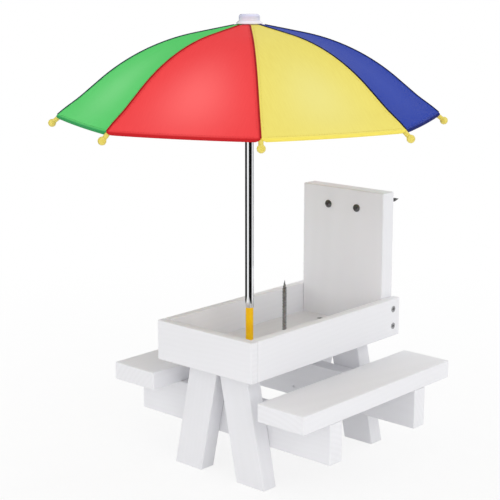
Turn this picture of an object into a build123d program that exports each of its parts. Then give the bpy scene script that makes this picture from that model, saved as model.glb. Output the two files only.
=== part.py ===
from build123d import *

import os
from math import asin, cos, degrees, hypot, radians, sin, tan

# Feeder table on two A-frames, with a bench on each side, a tall back board and a folding parasol.
# Millimetres. +Z is up, the parasol stands at the front (-Y) and the back board at the rear (+Y).
# The origin lies on the floor, in the middle of the whole object's width and depth.

os.makedirs("parts", exist_ok=True)

# Board stock
thick_board = 18.0
thin_board = 9.0
board_edge = 1.2

# Feed tray, an open box whose rear wall is the back board
tray_width = 124.0
tray_length = 232.0
tray_wall_height = 40.0
tray_underside = 112.0

# Back board, which stands between the side walls of the tray
back_board_height = 151.0
back_board_recess = 2.0

# A-frames: two leaning legs and a cross bearer each, the bearers on the inner sides
leg_width = 35.5
leg_lean = 11.7
leg_top_gap = 0.8
frame_inset_front = 20.5
frame_inset_rear = 23.5
bearer_height = 40.0

# Benches, which lie on the bearers
bench_width = 56.0
bench_inner_offset = 69.0
bench_top = 96.0

# Wood screws: snug holes, countersunk heads
screw_gap = 0.1
shank_proud = 0.5
screw_radius = 1.75
screw_head_radius = 3.4
screw_head_angle = 90.0
screw_point = 4.0
recess_width = 0.9
recess_length = 3.6
recess_depth = 1.0
back_screw_length = 34.0
back_screw_spacing = 18.0
floor_screw_length = 32.0
bearer_screw_length = 31.0
bearer_screw_spacing = 20.0
seat_screw_length = 45.0
seat_screw_spacing = 28.0
seat_screw_bite = 12.0

# Two long pan-head screws through the back board, which hang the table on a post or a tree
mount_screw_radius = 2.1
mount_screw_shank_radius = 2.4
mount_screw_length = 75.0
mount_screw_head_radius = 4.0
mount_screw_head_height = 2.6
mount_screw_point = 9.0
mount_screw_spacing = 37.4
mount_screw_drop = 19.0

# Feed spike, a screw driven up through the tray floor
spike_radius = 2.5
spike_shank_radius = 2.8
spike_height = 60.0
spike_point = 10.0
spike_head_radius = 5.0
spike_head_height = 3.0
spike_from_pole = 53.0

# Parasol stem: a plastic peg in the tray floor and a thin tube on the peg
pole_setback = 66.0
pole_radius = 4.25
pole_wall = 0.8
peg_radius = 3.8
peg_stand = 42.0
peg_spigot_radius = 3.0
peg_spigot_proud = 2.0
peg_plug_length = 25.0
turning_gap = 0.06

# Parasol ribs, wires that hinge at the crown and are bent over the stretchers
rib_count = 8
hinge_height = 435.7
hinge_circle = 8.0
rib_start_slope = 10.9
rib_bend_start = 43.5
rib_bend_end = 142.8
rib_bend_radius = 197.0
rib_length = 196.5
rib_wire_radius = 1.0
eye_radius = 2.0
eye_thickness = 1.6
pin_radius = 0.7
pin_gap = 0.06
pin_seat = 1.0
pin_seat_gap = 0.02

# Plastic tips on the rib ends
tip_grip = 4.0
tip_sleeve_radius = 2.2
tip_bore_gap = 0.05
tip_ball_radius = 3.75
tip_ball_distance = 8.5

# Stretchers, straight wires from the ribs to the runner
stretcher_arc = 92.0
stretcher_wire_radius = 0.9
lug_drop = 3.2
lug_radius = 2.2
lug_thickness = 1.4
fork_side_gap = 0.3
fork_cheek = 0.9
fork_radius = 1.9
fork_length = 7.0
fork_bridge = 2.6

# Crown on the pole and runner round it, both with a slot for each wire
slot_side_gap = 0.4
slot_floor_gap = 0.5
hub_rim = 2.5
hub_half_height = 3.6
runner_gap = 0.3
runner_sleeve_wall = 1.7
runner_sleeve_length = 20.0
crown_gap = 0.05
crown_over_hinge = 1.4

# Canopy cloth and the cap that covers its middle
cloth_thickness = 0.5
cloth_over_rib = 0.4
cloth_crown_rise = 1.3
cloth_seam_gap = 0.4
cloth_hole_gap = 0.9
cloth_points = 12
cap_gap = 0.3
cap_foot_radius = 12.5
cap_foot_edge = 0.8
cap_foot_height = 3.0
cap_radius = 10.0
cap_height = 11.5
cap_rounding = 2.5
cap_roof = 3.0


# Heights and places that follow from the sizes above
floor_top = tray_underside + thin_board
inner_width = tray_width - 2 * thin_board
bearer_top = bench_top - thick_board
bearer_bottom = bearer_top - bearer_height
bearer_length = 2 * (bench_inner_offset + bench_width)
bench_middle = bench_inner_offset + bench_width / 2
lean = tan(radians(leg_lean))
leg_level_width = leg_width / cos(radians(leg_lean))

# The rib lies in an upright plane through the pole: first number radius, second number height
start_slope = radians(rib_start_slope)


def rib_slope(arc_length):
    """Slope of the rib below the level, in radians, at a distance along it from its hinge."""
    bent = min(max(arc_length, rib_bend_start), rib_bend_end) - rib_bend_start
    return start_slope + bent / rib_bend_radius


def rib_point(arc_length, lift=0.0):
    """Radius and height of a point on the rib, or lifted square off it on the upper side."""
    slope = rib_slope(arc_length)
    inner = min(arc_length, rib_bend_start)
    outer = max(arc_length - rib_bend_end, 0)
    out = inner * cos(start_slope) + rib_bend_radius * (sin(slope) - sin(start_slope)) + outer * cos(slope)
    down = inner * sin(start_slope) + rib_bend_radius * (cos(start_slope) - cos(slope)) + outer * sin(slope)
    return hinge_circle + out + lift * sin(slope), hinge_height - down + lift * cos(slope)


tip_slope = rib_slope(rib_length)
tip_radius_out = rib_point(rib_length)[0] + tip_ball_distance * cos(tip_slope)
canopy_reach = tip_radius_out + tip_ball_radius

# Places along Y: the origin is half way between the front canopy tip and the mounting screws' points
mount_screw_proud = mount_screw_length - thick_board
front_reach = pole_setback - canopy_reach
rear_reach = tray_length - back_board_recess + mount_screw_proud
tray_front = -(front_reach + rear_reach) / 2
tray_rear = tray_front + tray_length
tray_middle = tray_front + tray_length / 2
pole_y = tray_front + pole_setback
spike_y = pole_y + spike_from_pole
back_board_front = tray_rear - back_board_recess - thick_board
back_board_middle = back_board_front + thick_board / 2
back_board_top = tray_underside + back_board_height
mount_screw_height = back_board_top - mount_screw_drop

# Each A-frame: front face of its legs, front face of its bearer, and the way that faces the middle
frames = {
    "front": (tray_front + frame_inset_front, tray_front + frame_inset_front + thick_board, 1),
    "rear": (
        tray_rear - frame_inset_rear - thick_board,
        tray_rear - frame_inset_rear - 2 * thick_board,
        -1,
    ),
}
sides = {"left": -1, "right": 1}


def leg_middle(height):
    """Distance of a leg's middle line from the centre plane at a height above the floor."""
    return leg_top_gap / 2 + (tray_underside - height) * lean + leg_level_width / 2


back_screw_heights = [
    tray_underside + tray_wall_height / 2 + step * back_screw_spacing / 2 for step in (-1, 1)
]
bearer_screw_heights = [
    bearer_bottom + bearer_height / 2 + step * bearer_screw_spacing / 2 for step in (-1, 1)
]
seat_screw_places = [bench_middle + step * seat_screw_spacing / 2 for step in (-1, 1)]
seat_screw_head = bearer_top + seat_screw_bite - seat_screw_length


def add_countersunk_screw(place, length):
    """Adds a screw to the open part: its flat head in the plane, its shank along the plane's -Z."""
    head_height = (screw_head_radius - screw_radius) / tan(radians(screw_head_angle / 2))
    upright = Plane(place.origin, x_dir=place.x_dir, z_dir=-place.y_dir)
    with BuildSketch(upright) as profile:
        with BuildLine():
            Polyline(
                (0, 0),
                (screw_head_radius, 0),
                (screw_radius, -head_height),
                (screw_radius, screw_point - length),
                (0, -length),
                close=True,
            )
        make_face()
    revolve(profile.sketch, axis=Axis(place.origin, place.z_dir))
    cut_cross_recess(place)


def add_pan_head_screw(place, length, radius, shank_length, shank_radius, head_radius, head_height, point):
    """Adds a screw to the open part: its domed head on the plane, then a plain shank along the
    plane's -Z, and the slimmer threaded length."""
    rim_height = head_height / 3
    dome_height = head_height - rim_height
    dome_radius = (head_radius**2 + dome_height**2) / (2 * dome_height)
    half_dome = asin(head_radius / dome_radius) / 2
    dome_middle = (dome_radius * sin(half_dome), head_height - dome_radius * (1 - cos(half_dome)))
    upright = Plane(place.origin, x_dir=place.x_dir, z_dir=-place.y_dir)
    with BuildSketch(upright) as profile:
        with BuildLine():
            Polyline(
                (0, head_height),
                (0, -length),
                (radius, point - length),
                (radius, -shank_length),
                (shank_radius, -shank_length),
                (shank_radius, 0),
                (head_radius, 0),
                (head_radius, rim_height),
            )
            ThreePointArc((head_radius, rim_height), dome_middle, (0, head_height))
        make_face()
    revolve(profile.sketch, axis=Axis(place.origin, place.z_dir))
    cut_cross_recess(place.offset(head_height))


def cut_cross_recess(face):
    """Cuts a cross recess into the head whose top lies in the plane."""
    with BuildSketch(face) as cross:
        Rectangle(recess_length, recess_width)
        Rectangle(recess_width, recess_length)
    extrude(cross.sketch, amount=recess_depth, both=True, mode=Mode.SUBTRACT)


# Screw places: the head's plane, with the shank running the other way
back_screws_at = [
    Plane((side * tray_width / 2, back_board_middle, height), x_dir=(0, 1, 0), z_dir=(side, 0, 0))
    for side in sides.values()
    for height in back_screw_heights
]
mount_screws_at = [
    Plane((step * mount_screw_spacing / 2, back_board_front, mount_screw_height), z_dir=(0, -1, 0))
    for step in (-1, 1)
]
floor_screws_at = [
    Plane((side * leg_middle(tray_underside), leg_y + thick_board / 2, floor_top), z_dir=(0, 0, 1))
    for leg_y, bearer_y, inward in frames.values()
    for side in sides.values()
]


def bearer_screw_places(frame_name, side):
    """Head planes of the screws that hold one leg, on the inner face of its bearer."""
    leg_y, bearer_y, inward = frames[frame_name]
    inner_face = bearer_y + (thick_board if inward > 0 else 0)
    return [
        Plane((side * leg_middle(height), inner_face, height), x_dir=(1, 0, 0), z_dir=(0, inward, 0))
        for height in bearer_screw_heights
    ]


def seat_screw_planes(frame_name, side):
    """Head planes of the screws that go up through one bearer into one bench."""
    leg_y, bearer_y, inward = frames[frame_name]
    return [
        Plane((side * place, bearer_y + thick_board / 2, seat_screw_head), z_dir=(0, 0, -1))
        for place in seat_screw_places
    ]


# Tray floor, with the parasol's hole, the spike's hole and the screws down into the legs
floor_front = tray_front + thin_board
with BuildPart() as tray_floor:
    with BuildSketch(Plane.XY.offset(tray_underside)):
        with Locations((0, (floor_front + back_board_front) / 2)):
            Rectangle(inner_width, back_board_front - floor_front)
    extrude(amount=thin_board)
    with Locations((0, pole_y, floor_top)):
        Hole(peg_spigot_radius + turning_gap)
    with Locations((0, spike_y, floor_top)):
        Hole(spike_shank_radius + screw_gap)
    with Locations(*floor_screws_at):
        CounterSinkHole(
            screw_radius + screw_gap,
            screw_head_radius + screw_gap,
            depth=thin_board,
            counter_sink_angle=screw_head_angle,
        )
tray_floor.part.label = "tray_floor"
export_step(tray_floor.part, "parts/tray_floor.step")

# Front wall, which covers the front ends of the side walls
with BuildPart() as tray_front_wall:
    with BuildSketch(Plane.XY.offset(tray_underside)):
        with Locations((0, tray_front + thin_board / 2)):
            Rectangle(tray_width, thin_board)
    extrude(amount=tray_wall_height)
    fillet(tray_front_wall.edges(), radius=board_edge)
tray_front_wall.part.label = "tray_front_wall"
export_step(tray_front_wall.part, "parts/tray_front_wall.step")

# Side walls, screwed to the edges of the back board near their rear ends
for side_name, side in sides.items():
    with BuildPart() as tray_side_wall:
        with BuildSketch(Plane.XY.offset(tray_underside)):
            with Locations((side * (tray_width - thin_board) / 2, tray_middle + thin_board / 2)):
                Rectangle(thin_board, tray_length - thin_board)
        extrude(amount=tray_wall_height)
        fillet(tray_side_wall.edges(), radius=board_edge)
        with Locations(*[place for place in back_screws_at if place.origin.X * side > 0]):
            CounterSinkHole(
                screw_radius + screw_gap,
                screw_head_radius + screw_gap,
                depth=thin_board,
                counter_sink_angle=screw_head_angle,
            )
    tray_side_wall.part.label = f"tray_{side_name}_wall"
    export_step(tray_side_wall.part, f"parts/tray_{side_name}_wall.step")

# Back board, with the holes of its edge screws and of the mounting screws
with BuildPart() as back_board:
    with BuildSketch(Plane.XY.offset(tray_underside)):
        with Locations((0, back_board_middle)):
            Rectangle(inner_width, thick_board)
    extrude(amount=back_board_height)
    fillet(back_board.edges(), radius=board_edge)
    with Locations(*mount_screws_at):
        Hole(mount_screw_shank_radius + screw_gap, depth=thick_board)
    with Locations(*[place.offset(-thin_board) for place in back_screws_at]):
        Hole(screw_radius + screw_gap, depth=back_screw_length - thin_board + screw_gap)
back_board.part.label = "back_board"
export_step(back_board.part, "parts/back_board.step")

# Legs, leaning boards that meet under the tray
for frame_name, (leg_y, bearer_y, inward) in frames.items():
    for side_name, side in sides.items():
        with BuildPart() as leg:
            with BuildSketch(Plane.XZ.offset(-leg_y)):
                with BuildLine():
                    Polyline(
                        (side * (leg_middle(0) - leg_level_width / 2), 0),
                        (side * (leg_middle(0) + leg_level_width / 2), 0),
                        (side * (leg_middle(tray_underside) + leg_level_width / 2), tray_underside),
                        (side * (leg_middle(tray_underside) - leg_level_width / 2), tray_underside),
                        close=True,
                    )
                make_face()
            extrude(amount=-thick_board)
            fillet(leg.edges(), radius=board_edge)
            with Locations((side * leg_middle(tray_underside), leg_y + thick_board / 2, tray_underside)):
                Hole(screw_radius + screw_gap, depth=floor_screw_length - thin_board + screw_gap)
            with Locations(*[p.offset(-thick_board) for p in bearer_screw_places(frame_name, side)]):
                Hole(screw_radius + screw_gap, depth=bearer_screw_length - thick_board + screw_gap)
        leg.part.label = f"{frame_name}_{side_name}_leg"
        export_step(leg.part, f"parts/{frame_name}_{side_name}_leg.step")

# Bearers across the inner sides of the legs
for frame_name, (leg_y, bearer_y, inward) in frames.items():
    with BuildPart() as bearer:
        with BuildSketch(Plane.XY.offset(bearer_bottom)):
            with Locations((0, bearer_y + thick_board / 2)):
                Rectangle(bearer_length, thick_board)
        extrude(amount=bearer_height)
        fillet(bearer.edges(), radius=board_edge)
        for side in sides.values():
            with Locations(*bearer_screw_places(frame_name, side)):
                CounterSinkHole(
                    screw_radius + screw_gap,
                    screw_head_radius + screw_gap,
                    depth=thick_board,
                    counter_sink_angle=screw_head_angle,
                )
            seat_holes = seat_screw_planes(frame_name, side)
            with Locations(*[place.offset(seat_screw_head - bearer_bottom) for place in seat_holes]):
                Hole(screw_head_radius + screw_gap, depth=seat_screw_head - bearer_bottom)
            with Locations(*seat_holes):
                CounterSinkHole(
                    screw_radius + screw_gap,
                    screw_head_radius + screw_gap,
                    depth=bearer_top - seat_screw_head,
                    counter_sink_angle=screw_head_angle,
                )
    bearer.part.label = f"{frame_name}_bearer"
    export_step(bearer.part, f"parts/{frame_name}_bearer.step")

# Bench seats on the bearers
for side_name, side in sides.items():
    with BuildPart() as bench_seat:
        with BuildSketch(Plane.XY.offset(bearer_top)):
            with Locations((side * bench_middle, tray_middle)):
                Rectangle(bench_width, tray_length)
        extrude(amount=thick_board)
        fillet(bench_seat.edges(), radius=board_edge)
        for frame_name in frames:
            for place in seat_screw_planes(frame_name, side):
                with Locations(place.offset(seat_screw_head - bearer_top)):
                    Hole(screw_radius + screw_gap, depth=seat_screw_bite + screw_gap)
    bench_seat.part.label = f"{side_name}_bench_seat"
    export_step(bench_seat.part, f"parts/{side_name}_bench_seat.step")

# Screws through the side walls into the back board
with BuildPart() as back_board_screws:
    for place in back_screws_at:
        add_countersunk_screw(place, back_screw_length)
back_board_screws.part.label = "back_board_screws"
export_step(back_board_screws.part, "parts/back_board_screws.step")

# Screws through the tray floor into the tops of the legs
with BuildPart() as floor_screws:
    for place in floor_screws_at:
        add_countersunk_screw(place, floor_screw_length)
floor_screws.part.label = "floor_screws"
export_step(floor_screws.part, "parts/floor_screws.step")

# Screws through the bearers into the legs
with BuildPart() as bearer_screws:
    for frame_name in frames:
        for side in sides.values():
            for place in bearer_screw_places(frame_name, side):
                add_countersunk_screw(place, bearer_screw_length)
bearer_screws.part.label = "bearer_screws"
export_step(bearer_screws.part, "parts/bearer_screws.step")

# Screws up through the bearers into the benches
with BuildPart() as seat_screws:
    for frame_name in frames:
        for side in sides.values():
            for place in seat_screw_planes(frame_name, side):
                add_countersunk_screw(place, seat_screw_length)
seat_screws.part.label = "seat_screws"
export_step(seat_screws.part, "parts/seat_screws.step")

# Mounting screws
with BuildPart() as mounting_screws:
    for place in mount_screws_at:
        add_pan_head_screw(
            place,
            mount_screw_length,
            mount_screw_radius,
            thick_board + shank_proud,
            mount_screw_shank_radius,
            mount_screw_head_radius,
            mount_screw_head_height,
            mount_screw_point,
        )
mounting_screws.part.label = "mounting_screws"
export_step(mounting_screws.part, "parts/mounting_screws.step")

# Feed spike
with BuildPart() as feed_spike:
    add_pan_head_screw(
        Plane((0, spike_y, tray_underside), z_dir=(0, 0, -1)),
        thin_board + spike_height,
        spike_radius,
        thin_board + shank_proud,
        spike_shank_radius,
        spike_head_radius,
        spike_head_height,
        spike_point,
    )
feed_spike.part.label = "feed_spike"
export_step(feed_spike.part, "parts/feed_spike.step")

# Parasol peg: a spigot in the floor, a body that stands on it and a plug inside the tube
pole_plane = Plane((0, pole_y, 0), x_dir=(1, 0, 0), z_dir=(0, -1, 0))
pole_axis = Axis((0, pole_y, 0), (0, 0, 1))
pole_bottom = floor_top + peg_stand
pole_bore = pole_radius - pole_wall
plug_radius = pole_bore - turning_gap
with BuildPart() as parasol_peg:
    with BuildSketch(pole_plane):
        with BuildLine():
            Polyline(
                (0, tray_underside - peg_spigot_proud),
                (peg_spigot_radius, tray_underside - peg_spigot_proud),
                (peg_spigot_radius, floor_top),
                (peg_radius, floor_top),
                (peg_radius, pole_bottom),
                (plug_radius, pole_bottom),
                (plug_radius, pole_bottom + peg_plug_length),
                (0, pole_bottom + peg_plug_length),
                close=True,
            )
        make_face()
    revolve(axis=pole_axis)
parasol_peg.part.label = "parasol_peg"
export_step(parasol_peg.part, "parts/parasol_peg.step")

# Parasol pole, a tube that reaches up into the cap
cap_top = hinge_height + cap_height
pole_top = cap_top - cap_roof
with BuildPart() as parasol_pole:
    with BuildSketch(Plane((0, pole_y, pole_bottom))):
        Circle(pole_radius)
        Circle(pole_bore, mode=Mode.SUBTRACT)
    extrude(amount=pole_top - pole_bottom)
parasol_pole.part.label = "parasol_pole"
export_step(parasol_pole.part, "parts/parasol_pole.step")

# The stretcher's pivots: on the rib, and on the runner straight below the crown's hinge.
# Rib and stretcher are equally long between their pivots, so the runner goes straight up and down.
pivot_radius, pivot_height = rib_point(stretcher_arc, -lug_drop)
stretcher_length = hypot(pivot_radius - hinge_circle, hinge_height - pivot_height)
runner_height = 2 * pivot_height - hinge_height

# Rib directions, from the front one round to the right
rib_step = 360 / rib_count
front_angle = -90
rib_angles = [front_angle + rib_step * index for index in range(rib_count)]
slot_width = max(eye_thickness, 2 * rib_wire_radius) + 2 * slot_side_gap
slot_depth_radius = hinge_circle - eye_radius - slot_floor_gap
hub_radius = hinge_circle + hub_rim


def upright_plane(angle):
    """Plane through the pole's axis at an angle, with X pointing out and Y pointing up."""
    out = Vector(cos(radians(angle)), sin(radians(angle)), 0)
    return Plane((0, pole_y, 0), x_dir=out, z_dir=out.cross(Vector(0, 0, 1)))


def cut_slots_and_pin_holes(height):
    """Cuts the slots of a hub at a height and the holes that hold its pins across them."""
    slot_length = 2 * hub_rim + hinge_circle - slot_depth_radius
    with BuildSketch(Plane((0, pole_y, height))) as slots:
        with PolarLocations(slot_depth_radius + slot_length / 2, rib_count, start_angle=front_angle):
            Rectangle(slot_length, slot_width)
    extrude(slots.sketch, amount=2 * hub_half_height, both=True, mode=Mode.SUBTRACT)
    for angle in rib_angles:
        with BuildSketch(upright_plane(angle)) as pin_hole:
            with Locations((hinge_circle, height)):
                Circle(pin_radius + pin_seat_gap)
        extrude(pin_hole.sketch, amount=slot_width / 2 + pin_seat, both=True, mode=Mode.SUBTRACT)


def add_pins(height):
    """Adds the pins of a hub at a height to the open part."""
    for angle in rib_angles:
        with BuildSketch(upright_plane(angle)) as pin:
            with Locations((hinge_circle, height)):
                Circle(pin_radius)
        extrude(pin.sketch, amount=slot_width / 2 + pin_seat, both=True)


# Crown, fixed on the pole under the cloth
with BuildPart() as crown:
    with BuildSketch(Plane((0, pole_y, hinge_height - hub_half_height))):
        Circle(hub_radius)
        Circle(pole_radius + crown_gap, mode=Mode.SUBTRACT)
    extrude(amount=hub_half_height + crown_over_hinge)
    cut_slots_and_pin_holes(hinge_height)
crown.part.label = "crown"
export_step(crown.part, "parts/crown.step")

with BuildPart() as crown_pins:
    add_pins(hinge_height)
crown_pins.part.label = "crown_pins"
export_step(crown_pins.part, "parts/crown_pins.step")

# Runner, a slotted collar with a sleeve below it that slides on the pole
runner_bore = pole_radius + runner_gap
sleeve_radius = runner_bore + runner_sleeve_wall
sleeve_top = runner_height - hub_half_height
with BuildPart() as runner:
    with BuildSketch(pole_plane):
        with BuildLine():
            Polyline(
                (runner_bore, sleeve_top - runner_sleeve_length),
                (sleeve_radius, sleeve_top - runner_sleeve_length),
                (sleeve_radius, sleeve_top),
                (hub_radius, sleeve_top),
                (hub_radius, runner_height + hub_half_height),
                (runner_bore, runner_height + hub_half_height),
                close=True,
            )
        make_face()
    revolve(axis=pole_axis)
    cut_slots_and_pin_holes(runner_height)
runner.part.label = "runner"
export_step(runner.part, "parts/runner.step")

with BuildPart() as runner_pins:
    add_pins(runner_height)
runner_pins.part.label = "runner_pins"
export_step(runner_pins.part, "parts/runner_pins.step")

# Ribs: an eye on the crown's pin, a bent wire and a lug for the stretcher
wire_start = (eye_radius + pin_radius) / 2
for number, angle in enumerate(rib_angles, start=1):
    rib_plane = upright_plane(angle)
    with BuildPart() as rib:
        with BuildLine(rib_plane) as rib_path:
            Line(rib_point(wire_start), rib_point(rib_bend_start))
            ThreePointArc(
                rib_point(rib_bend_start),
                rib_point((rib_bend_start + rib_bend_end) / 2),
                rib_point(rib_bend_end),
            )
            Line(rib_point(rib_bend_end), rib_point(rib_length))
        with BuildSketch(Plane(rib_path.line @ 0, z_dir=rib_path.line % 0)):
            Circle(rib_wire_radius)
        sweep(path=rib_path.line)
        with BuildSketch(rib_plane):
            with Locations((hinge_circle, hinge_height)):
                Circle(eye_radius)
        extrude(amount=eye_thickness / 2, both=True)
        with BuildSketch(rib_plane):
            with Locations((pivot_radius, pivot_height)):
                Circle(lug_radius)
                with Locations(Location((0, 0), -degrees(rib_slope(stretcher_arc)))):
                    Rectangle(2 * lug_radius, lug_drop, align=(Align.CENTER, Align.MIN))
        extrude(amount=lug_thickness / 2, both=True)
        with BuildSketch(rib_plane):
            with Locations((hinge_circle, hinge_height), (pivot_radius, pivot_height)):
                Circle(pin_radius + pin_gap)
        extrude(amount=slot_width, both=True, mode=Mode.SUBTRACT)
    rib.part.label = f"rib_{number}"
    export_step(rib.part, f"parts/rib_{number}.step")

# Tips: a sleeve on the end of each rib and a ball beyond it
sleeve_end = tip_ball_distance - (tip_ball_radius**2 - tip_sleeve_radius**2) ** 0.5
bore_radius = rib_wire_radius + tip_bore_gap
for number, angle in enumerate(rib_angles, start=1):
    rib_plane = upright_plane(angle)
    rib_end = rib_plane.from_local_coords((*rib_point(rib_length), 0))
    along = rib_plane.x_dir * cos(tip_slope) - rib_plane.y_dir * sin(tip_slope)
    tip_plane = Plane(rib_end, x_dir=along, z_dir=rib_plane.z_dir)
    with BuildPart() as rib_tip:
        with BuildSketch(tip_plane):
            with BuildLine():
                Polyline(
                    (tip_ball_distance + tip_ball_radius, 0),
                    (tip_bore_gap, 0),
                    (tip_bore_gap, bore_radius),
                    (-tip_grip, bore_radius),
                    (-tip_grip, tip_sleeve_radius),
                    (sleeve_end, tip_sleeve_radius),
                )
                ThreePointArc(
                    (sleeve_end, tip_sleeve_radius),
                    (tip_ball_distance, tip_ball_radius),
                    (tip_ball_distance + tip_ball_radius, 0),
                )
            make_face()
        revolve(axis=Axis(tip_plane.origin, tip_plane.x_dir))
    rib_tip.part.label = f"rib_tip_{number}"
    export_step(rib_tip.part, f"parts/rib_tip_{number}.step")

# Stretchers: a fork with a rivet at the rib, a straight wire and an eye on the runner's pin
cheek_inside = lug_thickness / 2 + fork_side_gap
cheek_outside = cheek_inside + fork_cheek
wire_end = stretcher_length - (eye_radius + pin_radius) / 2
for number, angle in enumerate(rib_angles, start=1):
    rib_plane = upright_plane(angle)
    pivot = rib_plane.from_local_coords((pivot_radius, pivot_height, 0))
    foot = rib_plane.from_local_coords((hinge_circle, runner_height, 0))
    fork_plane = Plane(pivot, x_dir=foot - pivot, z_dir=rib_plane.z_dir)
    wire_root = fork_plane.from_local_coords((fork_length - fork_bridge, 0, 0))
    with BuildPart() as stretcher:
        for way in (-1, 1):
            with BuildSketch(fork_plane.offset(way * cheek_inside)):
                Circle(fork_radius)
                Rectangle(fork_length, 2 * fork_radius, align=(Align.MIN, Align.CENTER))
            extrude(amount=way * fork_cheek)
        with BuildSketch(fork_plane):
            with Locations((fork_length, 0)):
                Rectangle(fork_bridge, 2 * fork_radius, align=(Align.MAX, Align.CENTER))
            Circle(pin_radius)
        extrude(amount=cheek_outside, both=True)
        with BuildSketch(Plane(wire_root, z_dir=fork_plane.x_dir)):
            Circle(stretcher_wire_radius)
        extrude(amount=wire_end - fork_length + fork_bridge)
        with BuildSketch(fork_plane):
            with Locations((stretcher_length, 0)):
                Circle(eye_radius)
        extrude(amount=eye_thickness / 2, both=True)
        with BuildSketch(fork_plane):
            with Locations((stretcher_length, 0)):
                Circle(pin_radius + pin_gap)
        extrude(amount=slot_width, both=True, mode=Mode.SUBTRACT)
    stretcher.part.label = f"stretcher_{number}"
    export_step(stretcher.part, f"parts/stretcher_{number}.step")

# Canopy gores: cloth stretched straight from rib to rib, with a straight hem
hem_arc = rib_length - tip_grip - cloth_over_rib
hole_radius = pole_radius + cloth_hole_gap
hole_arc = (hole_radius - hinge_circle) / cos(start_slope)
half_step = radians(rib_step / 2)


def cloth_point(share, above):
    """Point of the gore's middle line, from the hole (share 0) to the hem (share 1)."""
    arc_length = hole_arc + share * (hem_arc - hole_arc)
    lift = rib_wire_radius + cloth_over_rib + cloth_crown_rise * (1 - share) + above
    radius, height = rib_point(arc_length, lift)
    return radius * cos(half_step), height


shares = [index / (cloth_points - 1) for index in range(cloth_points)]
seam_apex = cloth_seam_gap / 2 / sin(half_step)
for number, angle in enumerate(rib_angles, start=1):
    middle = angle + rib_step / 2
    with BuildPart() as gore:
        with BuildSketch(upright_plane(middle)):
            with BuildLine():
                under = Spline(*[cloth_point(share, 0) for share in shares])
                over = Spline(*[cloth_point(share, cloth_thickness) for share in shares])
                Line(under @ 0, over @ 0)
                Line(under @ 1, over @ 1)
            make_face()
        extrude(amount=canopy_reach, both=True)
        with BuildSketch(Plane((0, pole_y, 0), x_dir=(cos(radians(middle)), sin(radians(middle)), 0))):
            with BuildLine():
                Polyline(
                    (seam_apex, 0),
                    (seam_apex + canopy_reach * cos(half_step), canopy_reach * sin(half_step)),
                    (seam_apex + canopy_reach * cos(half_step), -canopy_reach * sin(half_step)),
                    close=True,
                )
            make_face()
        extrude(amount=cap_top, mode=Mode.INTERSECT)
    gore.part.label = f"gore_{number}"
    export_step(gore.part, f"parts/gore_{number}.step")

# Cap over the middle of the canopy, with a flared foot and a blind bore for the pole
hole_edge = rib_point(hole_arc, rib_wire_radius + cloth_over_rib + cloth_crown_rise + cloth_thickness)[1]
foot_drop = (cap_foot_radius - hole_radius) * tan(start_slope)
foot_bottom = hole_edge + cap_gap - foot_drop
rounding_start = (cap_radius, cap_top - cap_rounding)
rounding_end = (cap_radius - cap_rounding, cap_top)
with BuildPart() as parasol_cap:
    with BuildSketch(pole_plane):
        with BuildLine():
            Polyline(
                (0, cap_top),
                (0, pole_top),
                (pole_radius + crown_gap, pole_top),
                (pole_radius + crown_gap, hole_edge + cap_gap),
                (hole_radius, hole_edge + cap_gap),
                (cap_foot_radius, foot_bottom),
                (cap_foot_radius, foot_bottom + cap_foot_edge),
                (cap_radius, foot_bottom + cap_foot_height),
                rounding_start,
            )
            RadiusArc(rounding_start, rounding_end, -cap_rounding)
            Line(rounding_end, (0, cap_top))
        make_face()
    revolve(axis=pole_axis)
parasol_cap.part.label = "parasol_cap"
export_step(parasol_cap.part, "parts/parasol_cap.step")
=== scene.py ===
from math import atan2, cos, exp, pi, radians, sin

import bmesh
import bpy
from mathutils import Matrix, Vector


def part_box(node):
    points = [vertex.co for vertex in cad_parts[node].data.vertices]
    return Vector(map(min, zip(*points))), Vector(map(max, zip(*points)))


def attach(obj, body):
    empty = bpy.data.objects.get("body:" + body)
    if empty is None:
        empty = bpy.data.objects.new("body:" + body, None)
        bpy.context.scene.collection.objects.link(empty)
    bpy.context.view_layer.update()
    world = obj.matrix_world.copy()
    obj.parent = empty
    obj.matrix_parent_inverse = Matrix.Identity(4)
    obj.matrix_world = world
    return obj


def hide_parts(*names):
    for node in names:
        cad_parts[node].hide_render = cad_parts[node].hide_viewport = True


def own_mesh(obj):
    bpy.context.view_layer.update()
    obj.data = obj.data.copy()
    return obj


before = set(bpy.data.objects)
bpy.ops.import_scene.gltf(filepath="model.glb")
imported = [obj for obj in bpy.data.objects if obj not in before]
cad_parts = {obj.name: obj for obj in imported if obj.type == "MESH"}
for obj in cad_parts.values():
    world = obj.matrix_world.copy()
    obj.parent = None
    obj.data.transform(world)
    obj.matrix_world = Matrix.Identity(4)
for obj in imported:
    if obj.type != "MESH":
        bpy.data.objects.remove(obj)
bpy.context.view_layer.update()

# Boards: planed softwood, glued and screwed into a small picnic table and sprayed with satin white
# paint. The grain shows through the paint a little, more on the sawn ends, and the paint is thinner
# on the softened edges. The boards are the CAD nodes themselves.
def feed(tree, node, inputs):
    """Feeds a node's inputs, by name or number, with another node's socket or a constant."""
    for key, value in inputs.items():
        socket = node.inputs[key]
        if isinstance(value, bpy.types.NodeSocket):
            tree.links.new(value, socket)
        elif socket.type == "RGBA":
            socket.default_value = (*value, 1.0)
        else:
            socket.default_value = value


def add_node(tree, kind, inputs=None, **settings):
    """Adds a node to a tree, sets its own properties and feeds its inputs."""
    node = tree.nodes.new(kind)
    for name, value in settings.items():
        setattr(node, name, value)
    feed(tree, node, inputs or {})
    return node


def add_math(tree, operation, *values, clamp=False):
    """Adds a Math node; each value is a socket or a number. Gives its output."""
    inputs = dict(enumerate(values))
    return add_node(tree, "ShaderNodeMath", inputs, operation=operation, use_clamp=clamp).outputs[0]


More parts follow.
